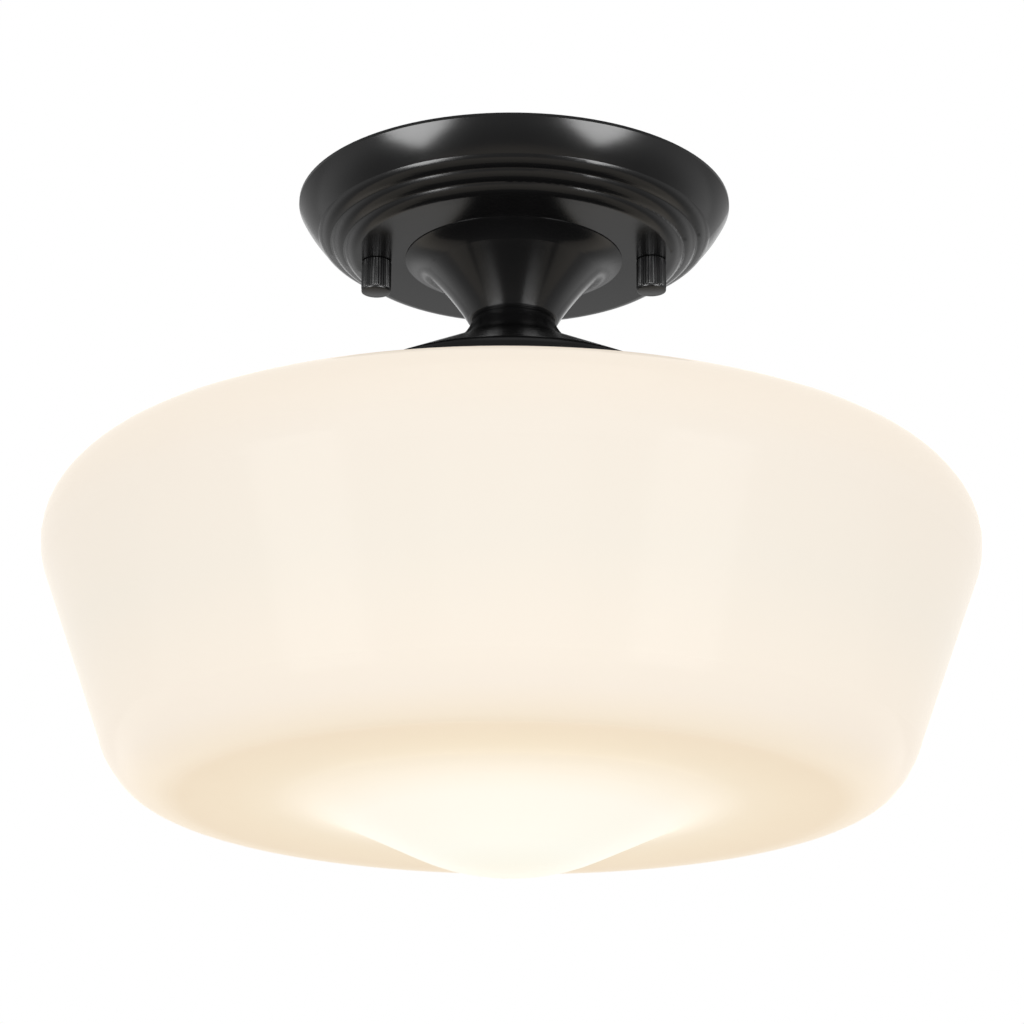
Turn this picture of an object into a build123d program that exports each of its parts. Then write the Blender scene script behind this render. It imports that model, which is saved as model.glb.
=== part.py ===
from build123d import *
from math import acos, atan, atan2, cos, degrees, radians, sin, sqrt, tan
import os

# Semi flush ceiling light: a ridged round canopy, a trumpet neck, a spun shade fitter and a
# closed opal glass shade that hides one screw-base bulb. All sizes are in millimetres.
# The origin is the centre of the canopy's rim on the ceiling. Z points up, the light hangs down.
# The two canopy nuts lie along X.

# Canopy: a spun pan with a plain band, three beads and a flat face
canopy_diameter = 139.7
canopy_depth = 18.5
canopy_wall = 1.0
rim_height = 1.0
band_depth = 10.5
band_radius = 63.4
band_bulge = 0.4
face_radius = 50.8
bead_count = 3
bead_bulge = 0.75
groove_round = 0.7
hole_cut_length = 6.0

# Crossbar, the studs that carry the canopy and their knurled cap nuts
stud_spacing = 88.9
stud_diameter = 4.17
stud_chamfer = 0.4
stud_end_gap = 1.0
stud_top_gap = 0.2
stud_hole_clearance = 0.35
thread_clearance = 0.06
bar_length = 104.0
bar_width = 20.0
bar_thickness = 1.6
bar_corner_round = 4.0
box_slot_spacing = 69.85
box_slot_width = 5.0
box_slot_length = 12.7
bar_centre_hole = 11.0
bar_collar_height = 1.4
bar_collar_wall = 1.2
stud_nut_width = 8.7
stud_nut_height = 3.2
cap_nut_diameter = 9.3
cap_nut_length = 10.6
cap_nut_bore_depth = 8.6
cap_nut_chamfer = 0.5
cap_nut_ring = 0.5
cap_nut_ring_depth = 0.3
nut_face_gap = 0.1
ground_screw_diameter = 4.6
ground_screw_head = 9.0
ground_screw_hex = 7.0
ground_screw_height = 3.0
ground_screw_flange = 1.0
ground_screw_offset = 18.0

# Trumpet neck between the canopy and the fitter
bell_height = 21.5
bell_wall = 1.0
bell_foot_edge = 0.25
bell_foot_round = 14.0
bell_foot_slope = 10.0
bell_flare_slope = 45.0
bell_mouth_slope = 59.5
bell_lip_round = 1.6
bell_seat_clearance = 0.05

# Shade fitter: a neck that enters the bell, a dish and a skirt with three screws
fitter_wall = 1.0
fitter_neck_radius = 12.6
fitter_neck_straight = 2.0
fitter_crown_round = 1.5
fitter_overlap = 0.7
fitter_flare_round = 16.1
fitter_slope = 27.2
fitter_shoulder_round = 3.0
fitter_skirt_height = 11.0
fitter_glass_clearance = 1.7
screw_above_edge = 4.0
weld_nut_diameter = 9.0
weld_nut_height = 3.0

# Thumb screws that reach under the lip of the glass
thumb_screw_angles = {"left": 210.0, "right": 330.0, "rear": 90.0}
thumb_screw_diameter = 4.0
thumb_head_diameter = 8.4
thumb_head_length = 8.0
thumb_head_standoff = 2.0
thumb_tip_gap = 0.3
thumb_chamfer = 0.5
thumb_tip_chamfer = 0.25

# Threaded hollow nipple that clamps canopy, bell and fitter, with its nuts and washers
nipple_diameter = 10.2
nipple_bore = 7.3
nipple_hole_clearance = 0.3
nipple_stand_up = 3.0
nipple_chamfer = 0.4
washer_diameter = 18.6
washer_thickness = 0.9
washer_teeth = 10
washer_notch = 1.6
washer_notch_depth = 1.5
hex_width = 14.3
hex_height = 4.0
hex_corner_ratio = 1.12

# Lampholder
socket_drop = 5.0
socket_hub_diameter = 14.4
socket_hub_height = 8.0
socket_cap_wall = 0.8
socket_cap_slope_height = 5.0
socket_cap_skirt = 6.0
socket_fit = 0.15
socket_wall = 3.0
socket_roof = 8.0
socket_height = 38.0
socket_edge_round = 1.2
shell_bore = 26.4
shell_wall = 0.4
shell_height = 27.0
shell_below_roof = 1.0
contact_radius = 5.0
contact_plate = 0.8
contact_button_radius = 3.2
contact_height = 2.2

# Bulb with a medium screw base
bulb_diameter = 60.3
bulb_length = 109.0
bulb_glass = 0.8
bulb_neck_radius = 13.8
bulb_neck_blend = 30.0
bulb_contact_gap = 0.3
base_diameter = 25.9
base_wall = 0.35
base_shell_height = 19.0
base_button_height = 1.0
base_button_radius = 4.6
base_button_round = 0.6
base_insulator_height = 2.0
base_insulator_radius = 9.2
base_taper_height = 2.4
neck_step_height = 3.0
neck_seal_depth = 4.5
neck_fit = 0.3
stem_length = 34.0
stem_radius = 3.4
stem_cone = 11.0
filament_level = 52.0
filament_radius = 11.0
filament_wire = 0.8

# Opal glass shade
glass_wall = 3.2
glass_lip_radius = 50.8
glass_lip_round = 1.1
glass_lip_gap = 0.6
glass_neck_taper = 0.3
glass_neck_round = 4.0
glass_crown_slope = 11.0
shade_radius = 145.6
shade_widest_below_lip = 54.2
shade_shoulder_round = 21.3
shade_belly_round = 26.6
shade_wall_lean = 20.0
shade_corner_round = 22.8
shade_underside_below_lip = 131.6
dome_depth = 21.1
dome_round = 71.0
dome_slope = 25.0
dome_foot_round = 30.0

# Leads from the lampholder up to the twist-on connectors inside the canopy
lead_diameter = 2.2
lead_offset = 1.6
lead_hole_clearance = 0.1
lead_hole_depth = 4.0
lead_level = 5.0
lead_bend = 5.0
lead_slope_start = 10.0
lead_slope_end = 18.0
lead_tip_gap = 2.0
lead_easy_bend = 9.0
connector_mouth_radius = 5.6
connector_tip_radius = 3.8
connector_length = 21.0
connector_start = 17.5
connector_level = 8.2
connector_bore_depth = 13.0
connector_bore_radius = 3.9
connector_grip_depth = 6.0
connector_grip_clearance = 0.25
connector_round = 1.2

# Levels and radii that follow from the sizes above
canopy_radius = canopy_diameter / 2
face_level = -canopy_depth
face_inside = face_level + canopy_wall
stud_radius = stud_diameter / 2
bell_lip_level = face_level - bell_height
bell_mouth_radius = fitter_neck_radius + fitter_overlap + bell_seat_clearance
flare_turn_at_lip = acos(1 - fitter_overlap / fitter_flare_round)
flare_start = bell_lip_level + fitter_flare_round * sin(flare_turn_at_lip)
fitter_top = flare_start + fitter_neck_straight
fitter_top_inside = fitter_top - fitter_wall
skirt_inside = glass_lip_radius + fitter_glass_clearance
skirt_radius = skirt_inside + fitter_wall
flare_end_radius = fitter_neck_radius + fitter_flare_round * (1 - sin(radians(fitter_slope)))
flare_end_level = flare_start - fitter_flare_round * cos(radians(fitter_slope))
shoulder_centre_radius = skirt_radius - fitter_shoulder_round
shoulder_start_radius = shoulder_centre_radius + fitter_shoulder_round * sin(radians(fitter_slope))
dish_drop = (shoulder_start_radius - flare_end_radius) * tan(radians(fitter_slope))
shoulder_start_level = flare_end_level - dish_drop
shoulder_centre_level = shoulder_start_level - fitter_shoulder_round * cos(radians(fitter_slope))
skirt_bottom = shoulder_centre_level - fitter_skirt_height
thumb_screw_level = skirt_bottom + screw_above_edge
lip_level = shoulder_centre_level + fitter_shoulder_round - fitter_wall - glass_lip_gap
nipple_hole = nipple_diameter + 2 * thread_clearance
upper_washer_top = face_inside + washer_thickness
upper_nut_top = upper_washer_top + hex_height
nipple_top = upper_nut_top + nipple_stand_up
lower_nut_top = fitter_top_inside - washer_thickness
socket_hub_top = lower_nut_top - hex_height - socket_drop
socket_hub_bottom = socket_hub_top - socket_hub_height
nipple_bottom = socket_hub_bottom
socket_bore = shell_bore / 2 + shell_wall + socket_fit
socket_radius = socket_bore + socket_wall
cap_radius = socket_radius + socket_fit + socket_cap_wall
cap_shoulder = socket_hub_bottom - socket_cap_slope_height
socket_top = cap_shoulder - socket_cap_wall - socket_fit
socket_ceiling = socket_top - socket_roof
bulb_top = socket_ceiling - contact_height - bulb_contact_gap
bulb_bottom = bulb_top - bulb_length
base_top = bulb_top - base_button_height - base_insulator_height
base_bottom = base_top - base_taper_height - base_shell_height
base_radius = base_diameter / 2


def point_on(centre, radius, angle):
    return (centre[0] + radius * cos(radians(angle)), centre[1] + radius * sin(radians(angle)))


def arc(centre, radius, start, end):
    return CenterArc(centre, radius, start, end - start)


def bulged(start, end, bulge):
    """An arc between two points that stands out from its chord, away from the axis and down."""
    run = end[0] - start[0]
    drop = end[1] - start[1]
    chord = sqrt(run**2 + drop**2)
    middle = ((start[0] + end[0]) / 2, (start[1] + end[1]) / 2)
    summit = (middle[0] - drop / chord * bulge, middle[1] + run / chord * bulge)
    return ThreePointArc(start, summit, end)


def turned(section):
    """A solid turned about Z from a section drawn as radius and height."""
    return revolve(Plane.XZ * section, Axis.Z)


def wall_section(outline, wall):
    """The section of a wall along an outline, on the side that doesn't widen it."""
    path = Wire([piece.edge() for piece in outline])
    walls = [offset(path, wall, side=side, closed=True) for side in (Side.LEFT, Side.RIGHT)]
    return make_face(min(walls, key=lambda section: section.bounding_box().max.X).edges())


def rings(*corners):
    """A turned solid from the corners of its section."""
    return turned(make_face(Polyline(*corners, close=True)))


def tube(outer, inner, top, bottom):
    return rings((inner, top), (outer, top), (outer, bottom), (inner, bottom))


def hex_nut(width, height, hole, top):
    corner_round = Pos(0, 0, top - height / 2) * Cylinder(width / 2 * hex_corner_ratio, height)
    prism = extrude(RegularPolygon(width / 2, 6, major_radius=False), height)
    bore = Pos(0, 0, top - height / 2) * Cylinder(hole / 2, height)
    return (Pos(0, 0, top - height) * prism & corner_round) - bore


def star_washer(top):
    """A lock washer with teeth round its edge."""
    ring = tube(washer_diameter / 2, nipple_hole / 2, top, top - washer_thickness)
    notch = Box(washer_notch_depth, washer_notch, washer_thickness)
    middle = top - washer_thickness / 2
    for place in PolarLocations((washer_diameter - washer_notch_depth) / 2, washer_teeth):
        ring -= Pos(0, 0, middle) * place * notch
    return ring


def both_sides(shape, spacing):
    """Two copies of a shape, apart along X."""
    return [Pos(side * spacing / 2, 0, 0) * shape for side in (-1, 1)]


def softened(section, corners, radius):
    """Rounds the corners of a section that lie at the given points."""
    near = [v for v in section.vertices() for c in corners if abs(v.X - c[0]) + abs(v.Y - c[1]) < 0.01]
    return fillet(near, radius)


def canopy():
    bead_run = (band_radius - face_radius) / bead_count
    bead_drop = (canopy_depth - band_depth) / bead_count
    corners = [(band_radius - i * bead_run, -band_depth - i * bead_drop) for i in range(bead_count + 1)]
    outline = [Line((canopy_radius, 0), (canopy_radius, -rim_height))]
    outline.append(bulged((canopy_radius, -rim_height), corners[0], band_bulge))
    outline += [bulged(corners[i], corners[i + 1], bead_bulge) for i in range(bead_count)]
    outline.append(Line(corners[-1], (nipple_diameter / 2 + nipple_hole_clearance, face_level)))
    section = softened(wall_section(outline, canopy_wall), corners[:-1], groove_round)
    pan = turned(section)
    hole = Pos(0, 0, face_level) * Cylinder(stud_radius + stud_hole_clearance, hole_cut_length)
    return pan - both_sides(hole, stud_spacing)


def crossbar():
    bar = extrude(RectangleRounded(bar_length, bar_width, bar_corner_round), -bar_thickness)
    slot = Pos(0, 0, -bar_thickness) * extrude(SlotOverall(box_slot_length, box_slot_width), bar_thickness)
    bar -= both_sides(slot, box_slot_spacing)
    stud_hole = Pos(0, 0, -bar_thickness / 2) * Cylinder(stud_radius + thread_clearance, bar_thickness)
    bar -= both_sides(stud_hole, stud_spacing)
    screw_hole = Cylinder(ground_screw_diameter / 2 + thread_clearance, bar_thickness)
    bar -= Pos(ground_screw_offset, 0, -bar_thickness / 2) * screw_hole
    collar_bottom = -bar_thickness - bar_collar_height
    bar += tube(bar_centre_hole / 2 + bar_collar_wall, bar_centre_hole / 2, -bar_thickness, collar_bottom)
    return bar - Pos(0, 0, collar_bottom / 2) * Cylinder(bar_centre_hole / 2, -collar_bottom)


def ground_screw():
    head_top = -bar_thickness
    flange_bottom = head_top - ground_screw_flange
    screw = tube(ground_screw_head / 2, 0, head_top, flange_bottom)
    hexagon = RegularPolygon(ground_screw_hex / 2, 6, major_radius=False)
    screw += Pos(0, 0, flange_bottom) * extrude(hexagon, ground_screw_flange - ground_screw_height)
    screw += tube(ground_screw_diameter / 2, 0, -stud_top_gap, head_top)
    return Pos(ground_screw_offset, 0, 0) * screw


def mounting_studs():
    stud_end = face_level - nut_face_gap - cap_nut_bore_depth + stud_end_gap
    stud = tube(stud_radius, 0, -stud_top_gap, stud_end)
    stud = chamfer(stud.edges().group_by(Axis.Z)[0], stud_chamfer)
    return both_sides(stud, stud_spacing)


def stud_nuts():
    nut = hex_nut(stud_nut_width, stud_nut_height, stud_diameter + 2 * thread_clearance, -bar_thickness)
    return both_sides(nut, stud_spacing)


def cap_nut(side):
    """A knurled round nut with a blind hole, a chamfered end and a fine ring just above it."""
    radius = cap_nut_diameter / 2
    bottom = face_level - nut_face_gap - cap_nut_length
    nut = tube(radius, 0, face_level - nut_face_gap, bottom)
    nut = chamfer(nut.edges().group_by(Axis.Z)[0], cap_nut_chamfer)
    ring_top = bottom + cap_nut_chamfer + 2 * cap_nut_ring
    nut -= tube(radius, radius - cap_nut_ring_depth, ring_top, ring_top - cap_nut_ring)
    bore_end = face_level - nut_face_gap - cap_nut_bore_depth
    nut -= tube(stud_radius + thread_clearance, 0, face_level - nut_face_gap, bore_end)
    return Pos(side * stud_spacing / 2, 0, 0) * nut


def neck_bell():
    """A trumpet whose foot lies on the canopy's face and whose curled lip rests on the fitter's flare."""
    lip_centre = (bell_mouth_radius, bell_lip_level + bell_lip_round)
    lip_start = point_on(lip_centre, bell_lip_round, bell_mouth_slope - 90)
    foot_rise = bell_foot_round * (cos(radians(bell_foot_slope)) - cos(radians(bell_flare_slope)))
    rise = face_level - bell_foot_edge - foot_rise - lip_start[1]
    body_round = rise / (cos(radians(bell_flare_slope)) - cos(radians(bell_mouth_slope)))
    body_centre = point_on(lip_start, body_round, bell_mouth_slope - 90)
    flare = point_on(body_centre, body_round, bell_flare_slope + 90)
    foot_centre = point_on(flare, bell_foot_round, bell_flare_slope - 90)
    outline = [arc(foot_centre, bell_foot_round, bell_foot_slope + 90, bell_flare_slope + 90)]
    outline.append(arc(body_centre, body_round, bell_flare_slope + 90, bell_mouth_slope + 90))
    outline.append(arc(lip_centre, bell_lip_round, bell_mouth_slope - 90, -90))
    section = wall_section(outline, bell_wall)
    above = Pos(canopy_radius / 2, face_level + bell_height / 2) * Rectangle(canopy_radius * 2, bell_height)
    return turned(section - above)


def shade_fitter():
    """A spun cup: a closed neck, a flare, a sloping dish and a skirt round the lip of the glass."""
    crown_centre = (fitter_neck_radius - fitter_crown_round, fitter_top - fitter_crown_round)
    flare_centre = (fitter_neck_radius + fitter_flare_round, flare_start)
    shoulder_centre = (shoulder_centre_radius, shoulder_centre_level)
    hole_edge = (nipple_diameter / 2 + nipple_hole_clearance, fitter_top)
    outline = [Line(hole_edge, (crown_centre[0], fitter_top))]
    outline.append(arc(crown_centre, fitter_crown_round, 90, 0))
    outline.append(Line(outline[-1] @ 1, (fitter_neck_radius, flare_start)))
    outline.append(arc(flare_centre, fitter_flare_round, 180, 270 - fitter_slope))
    outline.append(Line(outline[-1] @ 1, (shoulder_start_radius, shoulder_start_level)))
    outline.append(arc(shoulder_centre, fitter_shoulder_round, 90 - fitter_slope, 0))
    outline.append(Line((skirt_radius, shoulder_centre_level), (skirt_radius, skirt_bottom)))
    cup = turned(wall_section(outline, fitter_wall))
    hole = Rot(0, 90, 0) * Cylinder(thumb_screw_diameter / 2 + thread_clearance, hole_cut_length)
    for angle in thumb_screw_angles.values():
        cup -= Rot(0, 0, angle) * Pos(skirt_radius, 0, thumb_screw_level) * hole
    return cup


def weld_nuts():
    """The round threaded bosses on the outside of the skirt, one for each thumb screw."""
    boss = Cylinder(weld_nut_diameter / 2, weld_nut_height + fitter_wall / 2)
    boss -= Cylinder(thumb_screw_diameter / 2 + thread_clearance, hole_cut_length)
    boss_middle = skirt_radius + (weld_nut_height - fitter_wall / 2) / 2
    boss = Pos(boss_middle, 0, thumb_screw_level) * Rot(0, 90, 0) * boss
    skirt = tube(skirt_radius, skirt_inside - fitter_wall, shoulder_centre_level, skirt_bottom)
    return [Rot(0, 0, angle) * (boss - skirt) for angle in thumb_screw_angles.values()]


def thumb_screw(angle):
    """A knurled screw that points at the axis, its tip just clear of the taper under the glass lip."""
    radius = thumb_screw_diameter / 2
    level_at_tip = thumb_screw_level + radius
    tip = glass_lip_radius - glass_neck_taper * (lip_level - level_at_tip) + thumb_tip_gap
    head_start = skirt_radius + weld_nut_height + thumb_head_standoff
    shank = tube(radius, 0, head_start, tip)
    shank = chamfer(shank.edges().group_by(Axis.Z)[0], thumb_tip_chamfer)
    head = tube(thumb_head_diameter / 2, 0, head_start + thumb_head_length, head_start)
    head = chamfer(head.edges(), thumb_chamfer)
    return Rot(0, 0, angle) * Pos(0, 0, thumb_screw_level) * Rot(0, 90, 0) * (shank + head)


def stem_nipple():
    nipple = tube(nipple_diameter / 2, nipple_bore / 2, nipple_top, nipple_bottom)
    return chamfer(nipple.edges().group_by(Axis.Z)[-1].sort_by(SortBy.RADIUS)[-1], nipple_chamfer)


def socket_cap():
    """A steel cap: a threaded hub on the nipple and a coned skirt over the lampholder."""
    hub = tube(socket_hub_diameter / 2, nipple_hole / 2, socket_hub_top, socket_hub_bottom)
    start = (socket_hub_diameter / 2, socket_hub_bottom)
    outline = [Line((nipple_hole / 2, socket_hub_bottom), start)]
    outline.append(Line(start, (cap_radius, cap_shoulder)))
    outline.append(Line((cap_radius, cap_shoulder), (cap_radius, cap_shoulder - socket_cap_skirt)))
    return turned(wall_section(outline, socket_cap_wall)) + hub


def socket_body():
    """The ceramic lampholder: a thick roof with two lead holes and a deep round mouth."""
    bottom = socket_top - socket_height
    body = tube(socket_radius, 0, socket_top, bottom) - tube(socket_bore, 0, socket_ceiling, bottom)
    body = fillet(body.edges().filter_by(GeomType.CIRCLE).group_by(Axis.Z)[0], socket_edge_round)
    hole = tube(lead_diameter / 2 + lead_hole_clearance, 0, socket_top, socket_top - lead_hole_depth)
    return body - both_sides(hole, lead_offset * 2)


def screw_shell():
    top = socket_ceiling - shell_below_roof
    shell = tube(shell_bore / 2 + shell_wall, shell_bore / 2, top, top - shell_height)
    return shell + tube(shell_bore / 2, base_insulator_radius, top, top - shell_wall)


def centre_contact():
    button = tube(contact_button_radius, 0, socket_ceiling, socket_ceiling - contact_height)
    button = fillet(button.edges().group_by(Axis.Z)[0], contact_plate)
    return button + tube(contact_radius, 0, socket_ceiling, socket_ceiling - contact_plate)


def bulb_globe():
    """The frosted glass envelope: a ball, a concave blend and a neck that enters the base."""
    radius = bulb_diameter / 2
    centre = (0, bulb_bottom + radius)
    reach = sqrt((radius + bulb_neck_blend) ** 2 - (bulb_neck_radius + bulb_neck_blend) ** 2)
    blend_centre = (bulb_neck_radius + bulb_neck_blend, centre[1] + reach)
    join = degrees(atan2(reach, blend_centre[0]))
    seal_radius = base_radius - base_wall - neck_fit
    step = (seal_radius, base_bottom)
    outline = [Line((seal_radius, base_bottom + neck_seal_depth), step)]
    outline.append(Line(step, (bulb_neck_radius, base_bottom - neck_step_height)))
    outline.append(Line(outline[-1] @ 1, (bulb_neck_radius, blend_centre[1])))
    outline.append(arc(blend_centre, bulb_neck_blend, 180, 180 + join))
    outline.append(arc(centre, radius, join, -90))
    return turned(wall_section(outline, bulb_glass))


def bulb_screw_base():
    shell_top = base_top - base_taper_height
    outline = [Line((base_insulator_radius, base_top), (base_radius, shell_top))]
    outline.append(Line((base_radius, shell_top), (base_radius, base_bottom)))
    return turned(wall_section(outline, base_wall))


def bulb_insulator():
    """The black glass cone between the screw shell and the tip contact."""
    top = base_top + base_insulator_height
    bottom = base_top - base_wall
    seat = base_insulator_radius - base_wall
    return rings((0, top), (base_button_radius, top), (seat, base_top), (seat, bottom), (0, bottom))


def bulb_contact():
    button = tube(base_button_radius, 0, bulb_top, base_top + base_insulator_height)
    return fillet(button.edges().group_by(Axis.Z)[-1], base_button_round)


def bulb_stem():
    """The glass mount: a cone sealed inside the neck that narrows to a rod."""
    rim = bulb_neck_radius - bulb_glass - neck_fit
    top = base_bottom - neck_step_height
    end = top - stem_length
    return rings((0, top), (rim, top), (stem_radius, top - stem_cone), (stem_radius, end), (0, end))


def wire_tube(points, bends, diameter):
    """A round wire along straight runs joined by bends of the given radii."""
    path = FilletPolyline(*points, radius=bends)
    return sweep(Plane(path @ 0, z_dir=path % 0) * Circle(diameter / 2), path)


def bulb_filament():
    """Two lead-in wires from the stem and the filament between their tips, as one bent wire."""
    stem_end = base_bottom - neck_step_height - stem_length
    level = base_bottom - filament_level
    root = stem_radius / 2
    bend_level = stem_end - 2 * filament_wire
    left = [(-root, 0, stem_end), (-root, 0, bend_level), (-filament_radius, 0, level)]
    right = [(-x, y, z) for x, y, z in reversed(left)]
    return wire_tube(left + right, [2 * filament_wire] * 4, filament_wire)


def crown_outline(shoulder_level):
    """The shade's outside from its lip, down the tapered neck and out to the widest point."""
    neck_lean = degrees(atan(glass_neck_taper))
    crown = glass_crown_slope
    shoulder_centre = (shade_radius - shade_shoulder_round, shoulder_level)
    shoulder_start = point_on(shoulder_centre, shade_shoulder_round, 90 - crown)
    round_run = glass_neck_round * (cos(radians(neck_lean)) - sin(radians(crown)))
    round_drop = glass_neck_round * (cos(radians(crown)) + sin(radians(neck_lean)))
    crown_run = shoulder_start[0] - glass_lip_radius - round_run
    crown_drop = lip_level - round_drop - shoulder_start[1]
    slope = tan(radians(crown))
    neck_height = (crown_drop - crown_run * slope) / (1 + glass_neck_taper * slope)
    neck_end = (glass_lip_radius - glass_neck_taper * neck_height, lip_level - neck_height)
    round_centre = point_on(neck_end, glass_neck_round, -neck_lean)
    outline = [Line((glass_lip_radius, lip_level), neck_end)]
    outline.append(arc(round_centre, glass_neck_round, 180 - neck_lean, 270 - crown))
    outline.append(Line(outline[-1] @ 1, shoulder_start))
    outline.append(arc(shoulder_centre, shade_shoulder_round, 90 - crown, 0))
    return outline


def bowl_outline(shoulder_level, underside):
    """The shade's outside from the widest point, down the leaning wall to the flat underside."""
    lean = radians(shade_wall_lean)
    belly_centre = (shade_radius - shade_belly_round, shoulder_level)
    wall_top = point_on(belly_centre, shade_belly_round, -shade_wall_lean)
    wall_bottom_level = underside + shade_corner_round * (1 - sin(lean))
    wall_bottom = (wall_top[0] - (wall_top[1] - wall_bottom_level) * tan(lean), wall_bottom_level)
    corner_centre = point_on(wall_bottom, shade_corner_round, 180 - shade_wall_lean)
    outline = [arc(belly_centre, shade_belly_round, 0, -shade_wall_lean)]
    outline.append(Line(wall_top, wall_bottom))
    outline.append(arc(corner_centre, shade_corner_round, -shade_wall_lean, -90))
    return outline


def dome_outline(underside):
    """The hollow foot, the cone and the round tip of the small dome under the shade."""
    slope = radians(dome_slope)
    dome_centre = (0, underside - dome_depth + dome_round)
    cone_start = point_on(dome_centre, dome_round, dome_slope - 90)
    cone_end_level = underside - dome_foot_round * (1 - cos(slope))
    cone_end = (cone_start[0] + (cone_end_level - cone_start[1]) / tan(slope), cone_end_level)
    foot_centre = (cone_end[0] + dome_foot_round * sin(slope), underside - dome_foot_round)
    outline = [arc(foot_centre, dome_foot_round, 90, 90 + dome_slope)]
    outline.append(Line(cone_end, cone_start))
    outline.append(arc(dome_centre, dome_round, dome_slope - 90, -90))
    return outline


def glass_shade():
    """The closed opal shade, drawn on its outside from the lip down to the tip of its dome."""
    shoulder_level = lip_level - shade_widest_below_lip
    underside = lip_level - shade_underside_below_lip
    outline = crown_outline(shoulder_level) + bowl_outline(shoulder_level, underside)
    dome = dome_outline(underside)
    outline.append(Line(outline[-1] @ 1, dome[0] @ 0))
    section = wall_section(outline + dome, glass_wall)
    lip_outer = (glass_lip_radius, lip_level)
    lip_inner = point_on(lip_outer, glass_wall, 180 - degrees(atan(glass_neck_taper)))
    return turned(softened(section, [lip_outer, lip_inner], glass_lip_round))


def lead(side):
    """An insulated wire from the lampholder, up the nipple and across to its connector."""
    across = side * lead_offset
    tip = connector_start + connector_bore_depth - lead_tip_gap
    points = [(across, 0, socket_top - lead_hole_depth), (across, 0, -lead_level)]
    points.append((across, side * lead_slope_start, -lead_level))
    points.append((across, side * lead_slope_end, -connector_level))
    points.append((across, side * tip, -connector_level))
    return wire_tube(points, [lead_bend, lead_easy_bend, lead_easy_bend], lead_diameter)


def wire_connectors():
    """Two twist-on caps that lie in the canopy beside the crossbar, their mouths facing it."""
    mouth = (connector_mouth_radius, 0)
    tip = (connector_tip_radius, connector_length)
    body = rings((0, 0), mouth, tip, (0, connector_length))
    body = fillet(body.edges().group_by(Axis.Z)[-1], connector_round)
    grip = lead_diameter / 2 + connector_grip_clearance
    narrow = (grip, connector_grip_depth)
    bore_end = (grip, connector_bore_depth)
    body -= rings((0, 0), (connector_bore_radius, 0), narrow, bore_end, (0, connector_bore_depth))
    caps = []
    for side in (-1, 1):
        place = Pos(side * lead_offset, side * connector_start, -connector_level)
        caps.append(place * Rot(-90 * side, 0, 0) * body)
    return caps


pieces = {
    "canopy": canopy(),
    "crossbar": crossbar(),
    "ground_screw": ground_screw(),
    "mounting_studs": mounting_studs(),
    "stud_nuts": stud_nuts(),
    "cap_nut_left": cap_nut(-1),
    "cap_nut_right": cap_nut(1),
    "neck_bell": neck_bell(),
    "stem_nipple": stem_nipple(),
    "canopy_star_washer": star_washer(upper_washer_top),
    "canopy_hex_nut": hex_nut(hex_width, hex_height, nipple_hole, upper_nut_top),
    "shade_fitter": shade_fitter(),
    "fitter_star_washer": star_washer(fitter_top_inside),
    "fitter_hex_nut": hex_nut(hex_width, hex_height, nipple_hole, lower_nut_top),
    "weld_nuts": weld_nuts(),
    "socket_cap": socket_cap(),
    "socket_body": socket_body(),
    "socket_screw_shell": screw_shell(),
    "socket_contact": centre_contact(),
    "bulb_globe": bulb_globe(),
    "bulb_screw_base": bulb_screw_base(),
    "bulb_insulator": bulb_insulator(),
    "bulb_contact": bulb_contact(),
    "bulb_stem": bulb_stem(),
    "bulb_filament": bulb_filament(),
    "glass_shade": glass_shade(),
    "black_lead": lead(-1),
    "white_lead": lead(1),
    "wire_connectors": wire_connectors(),
}
for name, angle in thumb_screw_angles.items():
    pieces[f"thumb_screw_{name}"] = thumb_screw(angle)

os.makedirs("parts", exist_ok=True)
for name, piece in pieces.items():
    solid = Compound(children=piece) if isinstance(piece, list) else piece
    export_step(solid, f"parts/{name}.step")
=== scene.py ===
import bpy
from math import cos, pi, radians, sin
from mathutils import Matrix, Vector


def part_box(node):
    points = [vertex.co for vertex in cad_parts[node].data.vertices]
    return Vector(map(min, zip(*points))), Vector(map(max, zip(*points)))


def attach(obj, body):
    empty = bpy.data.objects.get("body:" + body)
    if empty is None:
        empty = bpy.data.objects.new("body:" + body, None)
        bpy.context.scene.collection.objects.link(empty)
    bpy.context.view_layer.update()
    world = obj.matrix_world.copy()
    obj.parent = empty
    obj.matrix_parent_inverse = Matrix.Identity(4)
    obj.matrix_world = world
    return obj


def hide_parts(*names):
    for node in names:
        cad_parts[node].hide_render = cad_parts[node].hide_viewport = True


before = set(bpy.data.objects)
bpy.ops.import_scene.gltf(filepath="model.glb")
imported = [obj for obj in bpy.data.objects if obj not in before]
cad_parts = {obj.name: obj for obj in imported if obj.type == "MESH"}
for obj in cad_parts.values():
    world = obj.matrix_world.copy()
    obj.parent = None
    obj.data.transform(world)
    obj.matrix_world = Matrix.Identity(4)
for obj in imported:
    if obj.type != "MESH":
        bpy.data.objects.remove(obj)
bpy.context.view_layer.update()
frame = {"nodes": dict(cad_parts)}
nodes = frame["nodes"]
print("frame loaded:", len(nodes), "nodes")


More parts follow.
